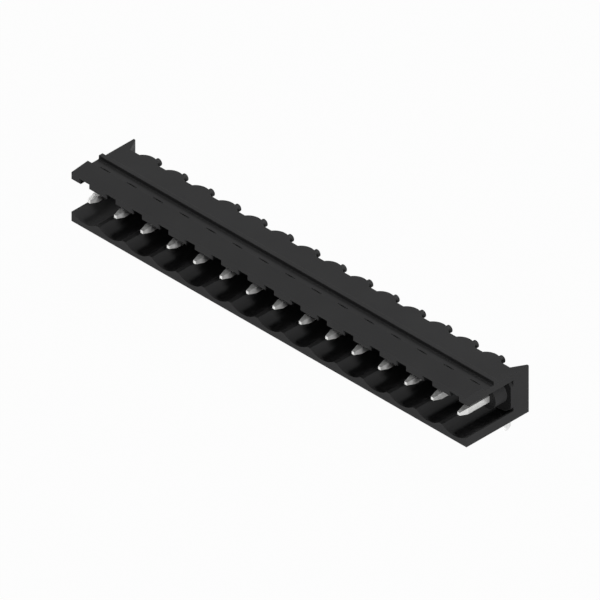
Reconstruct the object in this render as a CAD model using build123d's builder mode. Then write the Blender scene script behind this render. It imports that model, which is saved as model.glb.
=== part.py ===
"""Fifteen-way pin header for a circuit board, with right-angled contacts and open ends.

Sizes are in millimetres. X runs along the row of contacts, the mating face looks towards
negative Y and Z is up. The origin is the middle of the housing's seat on the board.
"""
from build123d import *
import os

os.makedirs("parts", exist_ok=True)

# Row of contacts
pole_count = 15
pitch = 5.08
end_margin = 2.4325

# Housing section, with depths measured back from the mating face
body_depth = 12.0
top_height = 7.69
lip_front_rise = 0.42
lip_rise = 0.77
lip_peak_depth = 3.15
rib_front_depth = 5.26
rib_thickness = 0.76
rib_height = 0.61
rib_edge_radius = 0.1
rib_foot_radius = 0.18

# Cavity that takes the plug, and the coding slots that break out behind the lip
floor_height = 1.55
roof_thickness = 1.05
roof_lead_in = 0.34
channel_deepness = 0.79
floor_ridge_width = 0.58
coding_slot_width = 1.97
coding_slot_depth = 4.15
coding_slot_breakout = 0.03

# Round seat and boss behind each contact
seat_disc_radius = 2.99
seat_disc_thickness = 0.49
seat_disc_chamfer = 0.08
boss_radius = 1.7
boss_length = 2.2

# Rear of the housing, with recesses measured forward from its rear plane
rear_recess = 2.15
rear_wall_thickness = 0.81
partition_width = 3.5
partition_bulge = 0.93
end_wall_root = 1.47
end_wall_tip = 0.3
stud_radius = 0.58
stud_drop = 1.34
stud_setback = 0.1

# Contact pins, of square wire
wire_size = 1.0
contact_height = 3.945
contact_tip_depth = 0.93
contact_tip_size = 0.46
contact_taper_length = 1.32
tail_setback = 2.0
tail_length = 3.2
tail_tip_size = 0.5
tail_taper_length = 0.7
bend_inner_radius = 0.4

# Clearances between a contact and the housing
bore_clearance = 0.02
slot_clearance = 0.1

# Places that follow from the sizes
row_length = (pole_count - 1) * pitch
body_length = row_length + 2 * end_margin
half_length = body_length / 2
front_y = -body_depth / 2
rear_y = body_depth / 2
rear_wall_y = rear_y - rear_recess
cavity_rear_y = rear_wall_y - rear_wall_thickness
cavity_depth = cavity_rear_y - front_y
seat_front_y = cavity_rear_y - seat_disc_thickness
boss_front_y = seat_front_y - boss_length
rib_front_y = front_y + rib_front_depth
rib_rear_y = rib_front_y + rib_thickness
rib_top = top_height + rib_height
lip_peak_y = front_y + lip_peak_depth
roof_height = top_height - roof_thickness
half_channel = (pitch - floor_ridge_width) / 2
coding_slot_height = roof_thickness + coding_slot_breakout
stud_height = top_height - stud_drop
tail_y = rear_y - tail_setback
contact_tip_y = front_y + contact_tip_depth
half_wire = wire_size / 2
arm_top = contact_height + half_wire
arm_bottom = contact_height - half_wire
tail_front_y = tail_y - half_wire
tail_rear_y = tail_y + half_wire
bend_start_y = tail_front_y - bend_inner_radius
bend_end_z = arm_bottom - bend_inner_radius
pole_xs = [index * pitch - row_length / 2 for index in range(pole_count)]
gap_xs = [x + pitch / 2 for x in pole_xs[:-1]]


# Plan of one rounded partition between two solder tails
with BuildSketch() as partition_plan:
    with BuildLine():
        ThreePointArc(
            (-partition_width / 2, rear_wall_y),
            (0, rear_wall_y + partition_bulge),
            (partition_width / 2, rear_wall_y),
        )
        Line((partition_width / 2, rear_wall_y), (-partition_width / 2, rear_wall_y))
    make_face()

# Plan of the wedge that carries one end wall back to the rear plane
with BuildSketch() as end_wall_plan:
    with BuildLine():
        Polyline(
            (half_length, rear_wall_y),
            (half_length, rear_y),
            (half_length - end_wall_tip, rear_y),
            (half_length - end_wall_root, rear_wall_y),
            close=True,
        )
    make_face()

# Round seats with their bosses, turned about each contact and trimmed at the open ends
with BuildPart() as seats:
    for x in pole_xs:
        with BuildSketch(Plane.YZ.offset(x)):
            with BuildLine():
                Polyline(
                    (cavity_rear_y, contact_height),
                    (boss_front_y, contact_height),
                    (boss_front_y, contact_height + boss_radius),
                    (seat_front_y, contact_height + boss_radius),
                    (seat_front_y, contact_height + seat_disc_radius - seat_disc_chamfer),
                    (seat_front_y + seat_disc_chamfer, contact_height + seat_disc_radius),
                    (cavity_rear_y, contact_height + seat_disc_radius),
                    close=True,
                )
            make_face()
        revolve(axis=Axis((x, 0, contact_height), (0, 1, 0)))
    Box(body_length, body_depth, top_height,
        align=(Align.CENTER, Align.CENTER, Align.MIN), mode=Mode.INTERSECT)


with BuildPart() as housing:
    # Channel section of floor, back wall and lipped roof, drawn out along the row
    with BuildSketch(Plane.YZ):
        with BuildLine():
            Polyline(
                (front_y, 0),
                (rear_wall_y, 0),
                (rear_wall_y, top_height),
                (rib_rear_y, top_height),
                (rib_rear_y, rib_top),
                (rib_front_y, rib_top),
                (rib_front_y, top_height),
                (lip_peak_y, top_height),
                (lip_peak_y, top_height + lip_rise),
                (front_y, top_height + lip_front_rise),
                close=True,
            )
        make_face()
        with BuildLine():
            Polyline(
                (front_y, floor_height),
                (cavity_rear_y, floor_height),
                (cavity_rear_y, roof_height),
                (front_y + roof_lead_in, roof_height),
                (front_y, roof_height + roof_lead_in),
                close=True,
            )
        make_face(mode=Mode.SUBTRACT)
    extrude(amount=half_length, both=True)
    long_edges = housing.edges().filter_by(Axis.X)
    fillet(long_edges.filter_by_position(Axis.Z, rib_top, rib_top), radius=rib_edge_radius)
    front_edges = housing.edges().filter_by(Axis.X).filter_by_position(
        Axis.Y, rib_front_y, rib_front_y
    )
    fillet(front_edges.sort_by(Axis.Z)[0], radius=rib_foot_radius)

    # Round-bottomed channel in the floor under each contact
    with BuildSketch(Plane.XZ.offset(-front_y)):
        for x in pole_xs:
            with BuildLine():
                ThreePointArc(
                    (x - half_channel, floor_height),
                    (x, floor_height - channel_deepness),
                    (x + half_channel, floor_height),
                )
                Line((x + half_channel, floor_height), (x - half_channel, floor_height))
            make_face()
    extrude(amount=-cavity_depth, mode=Mode.SUBTRACT)

    # Coding slot in the roof over each contact, which breaks out behind the lip
    with BuildSketch(Plane.XZ.offset(-front_y)):
        with Locations(*[(x, roof_height) for x in pole_xs]):
            Rectangle(coding_slot_width, coding_slot_height,
                      align=(Align.CENTER, Align.MIN))
    extrude(amount=-coding_slot_depth, mode=Mode.SUBTRACT)

    # Round seat with its boss on the back wall behind each contact
    add(seats.part)

    # Partitions between the tails, and the two end walls
    with BuildSketch(Plane.XY):
        with Locations(*[(x, 0) for x in gap_xs]):
            add(partition_plan.sketch)
        add(end_wall_plan.sketch)
        add(mirror(end_wall_plan.sketch, about=Plane.YZ, mode=Mode.PRIVATE))
    extrude(amount=top_height)

    # Stud on the back of each partition, level with the end walls
    with BuildSketch(Plane.XZ.offset(stud_setback - rear_y)):
        with Locations(*[(x, stud_height) for x in gap_xs]):
            Circle(stud_radius)
    extrude(amount=rear_y - stud_setback - rear_wall_y)

    # Square bore for each contact, and the slot that its tail turns down into
    with BuildSketch(Plane.XZ.offset(-front_y)):
        with Locations(*[(x, contact_height) for x in pole_xs]):
            Rectangle(wire_size + 2 * bore_clearance, wire_size + 2 * bore_clearance)
    extrude(amount=front_y - tail_y, mode=Mode.SUBTRACT)
    for x in pole_xs:
        with BuildSketch(Plane.YZ.offset(x)):
            with BuildLine():
                Polyline(
                    (tail_front_y - slot_clearance, 0),
                    (rear_y, 0),
                    (rear_y, arm_top + slot_clearance),
                    (bend_start_y - slot_clearance, arm_top + slot_clearance),
                    (bend_start_y - slot_clearance, bend_end_z - slot_clearance),
                    (tail_front_y - slot_clearance, bend_end_z - slot_clearance),
                    close=True,
                )
            make_face()
        extrude(amount=half_wire + slot_clearance, both=True, mode=Mode.SUBTRACT)

housing.part.label = "housing"
export_step(housing.part, "parts/housing.step")


for number, x in enumerate(pole_xs, start=1):
    with BuildPart() as contact_pin:
        # Arm, bend and tail, as one bent wire
        arm_start_y = contact_tip_y + contact_taper_length
        tail_end_z = tail_taper_length - tail_length
        with BuildSketch(Plane.YZ.offset(x)):
            with BuildLine():
                Line((arm_start_y, arm_top), (bend_start_y, arm_top))
                RadiusArc((bend_start_y, arm_top), (tail_rear_y, bend_end_z),
                          bend_inner_radius + wire_size)
                Line((tail_rear_y, bend_end_z), (tail_rear_y, tail_end_z))
                Line((tail_rear_y, tail_end_z), (tail_front_y, tail_end_z))
                Line((tail_front_y, tail_end_z), (tail_front_y, bend_end_z))
                RadiusArc((tail_front_y, bend_end_z), (bend_start_y, arm_bottom),
                          -bend_inner_radius)
                Line((bend_start_y, arm_bottom), (arm_start_y, arm_bottom))
                Line((arm_start_y, arm_bottom), (arm_start_y, arm_top))
            make_face()
        extrude(amount=half_wire, both=True)

        # Coined point that enters the plug
        with BuildSketch(Plane.XZ.offset(-arm_start_y)):
            with Locations((x, contact_height)):
                Rectangle(wire_size, wire_size)
        with BuildSketch(Plane.XZ.offset(-contact_tip_y)):
            with Locations((x, contact_height)):
                Rectangle(contact_tip_size, contact_tip_size)
        loft()

        # Tapered end that goes through the board
        with BuildSketch(Plane.XY.offset(tail_end_z)):
            with Locations((x, tail_y)):
                Rectangle(wire_size, wire_size)
        with BuildSketch(Plane.XY.offset(-tail_length)):
            with Locations((x, tail_y)):
                Rectangle(tail_tip_size, tail_tip_size)
        loft()

    contact_pin.part.label = f"contact_pin_{number:02d}"
    export_step(contact_pin.part, f"parts/contact_pin_{number:02d}.step")
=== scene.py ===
"""Looks of a right-angled pin header for a circuit board.

The housing is black moulded plastic and the contacts are tinned wire. The shapes come from
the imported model; this script gives them their finish and sets a plain studio round them.
"""
import math

import bpy
from bpy.props import FloatProperty, FloatVectorProperty, PointerProperty
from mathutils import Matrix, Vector


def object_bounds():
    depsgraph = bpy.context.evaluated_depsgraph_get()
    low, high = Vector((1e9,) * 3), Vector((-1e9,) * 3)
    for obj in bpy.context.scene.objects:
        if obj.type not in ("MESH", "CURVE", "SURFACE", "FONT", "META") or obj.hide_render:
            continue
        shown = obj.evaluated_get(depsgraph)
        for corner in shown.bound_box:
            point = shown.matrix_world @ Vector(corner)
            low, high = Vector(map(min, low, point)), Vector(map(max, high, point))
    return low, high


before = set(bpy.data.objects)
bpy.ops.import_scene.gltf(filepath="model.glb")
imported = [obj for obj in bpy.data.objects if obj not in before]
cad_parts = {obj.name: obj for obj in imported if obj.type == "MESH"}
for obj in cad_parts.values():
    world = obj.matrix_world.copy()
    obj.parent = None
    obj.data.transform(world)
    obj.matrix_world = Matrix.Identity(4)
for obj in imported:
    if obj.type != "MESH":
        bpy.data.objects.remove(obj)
cad_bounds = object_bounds()

bl_info = {
    "name": "Pin header looks",
    "version": (1, 0, 0),
    "blender": (4, 5, 0),
    "location": "View3D > Sidebar > Header",
    "description": "Finishes of a circuit board pin header, with a plain studio",
    "category": "Object",
}

HOUSING = "housing"
CONTACTS = sorted(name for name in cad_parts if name.startswith("contact_pin"))
WHITE = (1.0, 1.0, 1.0, 1.0)

# Part of its range where most of the noise lies, which the mottle group spreads out
NOISE_RANGE = (0.3, 0.7)
NOISE_DETAIL = 3.0

# Darkest and lightest tint of the plastic's clouds and of the tin's patches
CLOUD_TINT = (0.95, 1.05)
PATCH_TINT = (0.92, 1.04)

# How far the roughness of plastic and tin strays to both sides
SKIN_STRAY = 0.03
TIN_STRAY = 0.06

# Width of one patch of roughness, in grains of the plastic and in patches of the tin
SKIN_GRAINS = 4
TIN_PATCHES = 2

# Metres from the middle of the floor to its edges
FLOOR_REACH = 1.0

# Nearest and furthest distance that the camera sees, in metres
CAMERA_CLIP = (0.001, 10.0)

# How far the camera stands back from its aim, in widths of the view
CAMERA_DISTANCE = 4

# For each lamp, the way that its light travels and how wide it looks, in degrees
LAMPS = {
    "key_lamp": ((-0.95, 0.17, -0.25), 5.0),
    "top_lamp": ((0.0, -0.67, -0.74), 30.0),
    "left_lamp": ((0.75, -0.1, -0.65), 8.0),
    "front_lamp": ((0.0, 0.53, 0.85), 4.0),
}


class HousingLook(bpy.types.PropertyGroup):
    """Sizes and colours of the moulded plastic."""

    color: FloatVectorProperty(
        name="Plastic colour", description="Colour of the moulded plastic",
        subtype="COLOR", size=3, min=0.0, max=1.0, default=(0.032, 0.032, 0.0325))
    gloss_break: FloatProperty(
        name="Gloss break", description="Roughness of the moulded skin",
        subtype="FACTOR", min=0.0, max=1.0, default=0.45)
    shine: FloatProperty(
        name="Shine", description="How much of the surroundings the skin mirrors",
        subtype="FACTOR", min=0.0, max=1.0, default=0.025)
    grain_size: FloatProperty(
        name="Grain size", description="Width of one grain of the spark-eroded mould",
        unit="LENGTH", min=0.00001, default=0.00009)
    grain_depth: FloatProperty(
        name="Grain depth", description="Height of the grain",
        unit="LENGTH", min=0.0, default=0.0000006)
    flow_size: FloatProperty(
        name="Flow mark size", description="Width of the faint clouds left by the melt",
        unit="LENGTH", min=0.0001, default=0.006)


class ContactLook(bpy.types.PropertyGroup):
    """Sizes and colours of the tinned wire."""

    color: FloatVectorProperty(
        name="Tin colour", description="Colour of the tin plating",
        subtype="COLOR", size=3, min=0.0, max=1.0, default=(0.72, 0.72, 0.71))
    roughness: FloatProperty(
        name="Tin roughness", description="Roughness of the plating",
        subtype="FACTOR", min=0.0, max=1.0, default=0.4)
    metallic: FloatProperty(
        name="Tin metallic", description="Share of the plating that shines as bare metal",
        subtype="FACTOR", min=0.0, max=1.0, default=0.75)
    mottle_size: FloatProperty(
        name="Mottle size", description="Width of one patch of the plating",
        unit="LENGTH", min=0.00001, default=0.0004)
    mottle_depth: FloatProperty(
        name="Mottle depth", description="Height of the ripples in the plating",
        unit="LENGTH", min=0.0, default=0.000004)


class StudioLook(bpy.types.PropertyGroup):
    """Camera, lamps, sky and floor."""

    azimuth: FloatProperty(
        name="Azimuth", description="Camera direction, 0 looks along +Y",
        subtype="ANGLE", default=math.radians(45))
    elevation: FloatProperty(
        name="Elevation", description="Angle of the camera above the horizon",
        subtype="ANGLE", default=math.radians(35))
    view_width: FloatProperty(
        name="View width", description="Width of the parallel view",
        unit="LENGTH", default=0.081616)
    aim: FloatVectorProperty(
        name="Aim", description="Point at the middle of the picture",
        subtype="XYZ", unit="LENGTH", size=3, default=(0.0012975, -0.00132, 0.004))
    floor_color: FloatVectorProperty(
        name="Floor colour", description="Colour of the floor",
        subtype="COLOR", size=3, min=0.0, max=1.0, default=(0.18, 0.18, 0.18))
    floor_white: FloatProperty(
        name="Floor white", description="Share of the floor that is seen as plain white",
        subtype="FACTOR", min=0.0, max=1.0, default=0.975)
    key_lamp: FloatProperty(
        name="Key lamp", description="Strength of the low lamp on the right",
        min=0.0, default=2.8)
    top_lamp: FloatProperty(
        name="Top lamp", description="Strength of the lamp above and behind",
        min=0.0, default=2.05)
    left_lamp: FloatProperty(
        name="Left lamp", description="Strength of the high lamp on the left",
        min=0.0, default=0.7)
    front_lamp: FloatProperty(
        name="Front lamp", description="Strength of the lamp in front, below the floor",
        min=0.0, default=3.8)
    sky: FloatProperty(
        name="Sky", description="Strength of the even light from all round",
        min=0.0, default=0.11)


def new_material(name, shader_type):
    """A node material, its tree and its one shader, of that type and linked to the output."""
    material = bpy.data.materials.new(name)
    material.use_nodes = True
    tree = material.node_tree
    tree.nodes.clear()
    shader = tree.nodes.new(shader_type)
    output = tree.nodes.new("ShaderNodeOutputMaterial")
    tree.links.new(shader.outputs[0], output.inputs["Surface"])
    return material, tree, shader


def mottle_group():
    """Node group: soft noise of one patch size, spread between two values."""
    name = "Mottle"
    if name in bpy.data.node_groups:
        return bpy.data.node_groups[name]
    group = bpy.data.node_groups.new(name, "ShaderNodeTree")
    for socket, default in (("Patches per metre", 1000.0), ("Low", 0.0), ("High", 1.0)):
        entry = group.interface.new_socket(socket, in_out="INPUT", socket_type="NodeSocketFloat")
        entry.default_value = default
    group.interface.new_socket("Value", in_out="OUTPUT", socket_type="NodeSocketFloat")
    source = group.nodes.new("NodeGroupInput")
    place = group.nodes.new("ShaderNodeTexCoord")
    noise = group.nodes.new("ShaderNodeTexNoise")
    noise.inputs["Detail"].default_value = NOISE_DETAIL
    spread = group.nodes.new("ShaderNodeMapRange")
    spread.inputs["From Min"].default_value = NOISE_RANGE[0]
    spread.inputs["From Max"].default_value = NOISE_RANGE[1]
    target = group.nodes.new("NodeGroupOutput")
    links = group.links
    links.new(place.outputs["Object"], noise.inputs["Vector"])
    links.new(source.outputs["Patches per metre"], noise.inputs["Scale"])
    links.new(noise.outputs["Fac"], spread.inputs["Value"])
    links.new(source.outputs["Low"], spread.inputs["To Min"])
    links.new(source.outputs["High"], spread.inputs["To Max"])
    links.new(spread.outputs["Result"], target.inputs["Value"])
    return group


def add_mottle(tree, patch_size, low, high):
    """The mottle group placed in a material, with its own patch size and range."""
    node = tree.nodes.new("ShaderNodeGroup")
    node.node_tree = mottle_group()
    node.inputs["Patches per metre"].default_value = 1.0 / patch_size
    node.inputs["Low"].default_value = low
    node.inputs["High"].default_value = high
    return node.outputs["Value"]


def tinted(tree, color, amount):
    """The colour, made lighter or darker over the surface by the factor in amount."""
    scale = tree.nodes.new("ShaderNodeVectorMath")
    scale.operation = "SCALE"
    scale.inputs[0].default_value = color
    tree.links.new(amount, scale.inputs["Scale"])
    return scale.outputs["Vector"]


def add_bump(tree, shader, height, depth):
    """Relief on the shader's surface, depth metres high where height is 1."""
    bump = tree.nodes.new("ShaderNodeBump")
    bump.inputs["Strength"].default_value = 1.0
    bump.inputs["Distance"].default_value = depth
    tree.links.new(height, bump.inputs["Height"])
    tree.links.new(bump.outputs["Normal"], shader.inputs["Normal"])


def moulded_plastic(look):
    """Black plastic with the fine grain of its mould and faint flow clouds."""
    material, tree, shader = new_material("moulded_plastic", "ShaderNodeBsdfPrincipled")
    clouds = add_mottle(tree, look.flow_size, *CLOUD_TINT)
    tree.links.new(tinted(tree, look.color, clouds), shader.inputs["Base Color"])
    skin = add_mottle(tree, look.grain_size * SKIN_GRAINS,
                      look.gloss_break - SKIN_STRAY, look.gloss_break + SKIN_STRAY)
    tree.links.new(skin, shader.inputs["Roughness"])
    shader.inputs["Specular IOR Level"].default_value = look.shine
    grain = add_mottle(tree, look.grain_size, 0.0, 1.0)
    add_bump(tree, shader, grain, look.grain_depth)
    return material


def tinned_wire(look):
    """Tin plating with soft patches that shine a little more or less."""
    material, tree, shader = new_material("tinned_wire", "ShaderNodeBsdfPrincipled")
    patches = add_mottle(tree, look.mottle_size, *PATCH_TINT)
    tree.links.new(tinted(tree, look.color, patches), shader.inputs["Base Color"])
    dull = add_mottle(tree, look.mottle_size * TIN_PATCHES,
                      look.roughness - TIN_STRAY, look.roughness + TIN_STRAY)
    tree.links.new(dull, shader.inputs["Roughness"])
    shader.inputs["Metallic"].default_value = look.metallic
    ripple = add_mottle(tree, look.mottle_size, 0.0, 1.0)
    add_bump(tree, shader, ripple, look.mottle_depth)
    return material


def dress(node, material):
    """Puts a finish on a carried-over node."""
    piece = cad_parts[node]
    piece.data.materials.clear()
    piece.data.materials.append(material)


def seen_rays(tree):
    """1 for camera, glossy and transmission rays, and 0 for all other rays."""
    path = tree.nodes.new("ShaderNodeLightPath")
    seen = path.outputs["Is Camera Ray"]
    for ray in ("Is Glossy Ray", "Is Transmission Ray"):
        either = tree.nodes.new("ShaderNodeMath")
        either.operation = "ADD"
        either.use_clamp = True
        tree.links.new(seen, either.inputs[0])
        tree.links.new(path.outputs[ray], either.inputs[1])
        seen = either.outputs["Value"]
    return seen


def add_world(look):
    """Even light from all round, seen as white."""
    world = bpy.data.worlds.new("studio_sky")
    world.use_nodes = True
    tree = world.node_tree
    background = tree.nodes["Background"]
    background.inputs["Color"].default_value = WHITE
    level = tree.nodes.new("ShaderNodeMapRange")
    level.inputs["To Min"].default_value = look.sky
    level.inputs["To Max"].default_value = 1.0
    tree.links.new(seen_rays(tree), level.inputs["Value"])
    tree.links.new(level.outputs["Result"], background.inputs["Strength"])
    bpy.context.scene.world = world


def pale_floor(look):
    """Matt floor, seen as nearly plain white with a trace of the object's shadow."""
    material, tree, mix = new_material("pale_floor", "ShaderNodeMixShader")
    matt = tree.nodes.new("ShaderNodeBsdfDiffuse")
    matt.inputs["Color"].default_value = (*look.floor_color, 1.0)
    glow = tree.nodes.new("ShaderNodeEmission")
    glow.inputs["Color"].default_value = WHITE
    share = tree.nodes.new("ShaderNodeMath")
    share.operation = "MULTIPLY"
    share.inputs[1].default_value = look.floor_white
    tree.links.new(seen_rays(tree), share.inputs[0])
    tree.links.new(share.outputs["Value"], mix.inputs["Fac"])
    tree.links.new(matt.outputs["BSDF"], mix.inputs[1])
    tree.links.new(glow.outputs["Emission"], mix.inputs[2])
    return material


def add_floor(look, height):
    """Plain pale floor at that height, which lets the light of the lamp below it through."""
    mesh = bpy.data.meshes.new("floor")
    corners = [(-FLOOR_REACH, -FLOOR_REACH, height), (FLOOR_REACH, -FLOOR_REACH, height),
               (FLOOR_REACH, FLOOR_REACH, height), (-FLOOR_REACH, FLOOR_REACH, height)]
    mesh.from_pydata(corners, [], [(0, 1, 2, 3)])
    mesh.materials.append(pale_floor(look))
    floor = bpy.data.objects.new("floor", mesh)
    floor.visible_shadow = False
    bpy.context.scene.collection.objects.link(floor)


def add_sun(name, direction, strength, width):
    """Lamp far away, with the direction its light travels in and its width as an angle."""
    lamp = bpy.data.lights.new(name, "SUN")
    lamp.energy = strength
    lamp.angle = width
    holder = bpy.data.objects.new(name, lamp)
    holder.rotation_euler = Vector(direction).to_track_quat("-Z", "Y").to_euler()
    bpy.context.scene.collection.objects.link(holder)


def add_camera(look):
    """Parallel camera at the given direction, aimed at one point."""
    camera = bpy.data.cameras.new("camera")
    camera.type = "ORTHO"
    camera.ortho_scale = look.view_width
    camera.clip_start, camera.clip_end = CAMERA_CLIP
    holder = bpy.data.objects.new("camera", camera)
    back = Vector((
        math.sin(look.azimuth) * math.cos(look.elevation),
        -math.cos(look.azimuth) * math.cos(look.elevation),
        math.sin(look.elevation),
    ))
    holder.location = Vector(look.aim) + back * (CAMERA_DISTANCE * look.view_width)
    holder.rotation_euler = back.to_track_quat("Z", "Y").to_euler()
    bpy.context.scene.collection.objects.link(holder)
    bpy.context.scene.camera = holder


class HEADER_OT_dress_housing(bpy.types.Operator):
    """Gives the housing its moulded plastic."""

    bl_idname = "header.dress_housing"
    bl_label = "Dress housing"

    def execute(self, context):
        dress(HOUSING, moulded_plastic(context.scene.header_housing))
        return {"FINISHED"}


class HEADER_OT_dress_contacts(bpy.types.Operator):
    """Gives every contact its tin plating."""

    bl_idname = "header.dress_contacts"
    bl_label = "Dress contacts"

    def execute(self, context):
        if not CONTACTS:
            raise RuntimeError("the model has no contacts")
        material = tinned_wire(context.scene.header_contacts)
        for name in CONTACTS:
            dress(name, material)
        return {"FINISHED"}


class HEADER_OT_build_studio(bpy.types.Operator):
    """Adds the camera, the lamps, the sky and the floor."""

    bl_idname = "header.build_studio"
    bl_label = "Build studio"

    def execute(self, context):
        look = context.scene.header_studio
        context.scene.view_settings.view_transform = "Standard"
        add_camera(look)
        add_world(look)
        add_floor(look, height=cad_bounds[0][2])
        for lamp, (direction, width) in LAMPS.items():
            add_sun(lamp, direction, getattr(look, lamp), math.radians(width))
        return {"FINISHED"}


class HEADER_PT_looks(bpy.types.Panel):
    """Panel with the header's steps and their settings."""

    bl_idname = "HEADER_PT_looks"
    bl_label = "Pin header"
    bl_space_type = "VIEW_3D"
    bl_region_type = "UI"
    bl_category = "Header"

    def draw(self, context):
        scene = context.scene
        for settings, step in (
            (scene.header_housing, HEADER_OT_dress_housing),
            (scene.header_contacts, HEADER_OT_dress_contacts),
            (scene.header_studio, HEADER_OT_build_studio),
        ):
            box = self.layout.box()
            for name in settings.__annotations__:
                box.prop(settings, name)
            box.operator(step.bl_idname)


CLASSES = (
    HousingLook, ContactLook, StudioLook,
    HEADER_OT_dress_housing, HEADER_OT_dress_contacts, HEADER_OT_build_studio,
    HEADER_PT_looks,
)


def register():
    """Makes the steps, the panel and the scene's settings known."""
    for item in CLASSES:
        bpy.utils.register_class(item)
    bpy.types.Scene.header_housing = PointerProperty(type=HousingLook)
    bpy.types.Scene.header_contacts = PointerProperty(type=ContactLook)
    bpy.types.Scene.header_studio = PointerProperty(type=StudioLook)


def unregister():
    """Takes the settings, the panel and the steps away again."""
    del bpy.types.Scene.header_studio
    del bpy.types.Scene.header_contacts
    del bpy.types.Scene.header_housing
    for item in reversed(CLASSES):
        bpy.utils.unregister_class(item)


def main():
    """Builds the studio and dresses the header."""
    register()
    bpy.ops.header.build_studio()
    bpy.ops.header.dress_housing()
    bpy.ops.header.dress_contacts()


if __name__ == "__main__":
    main()
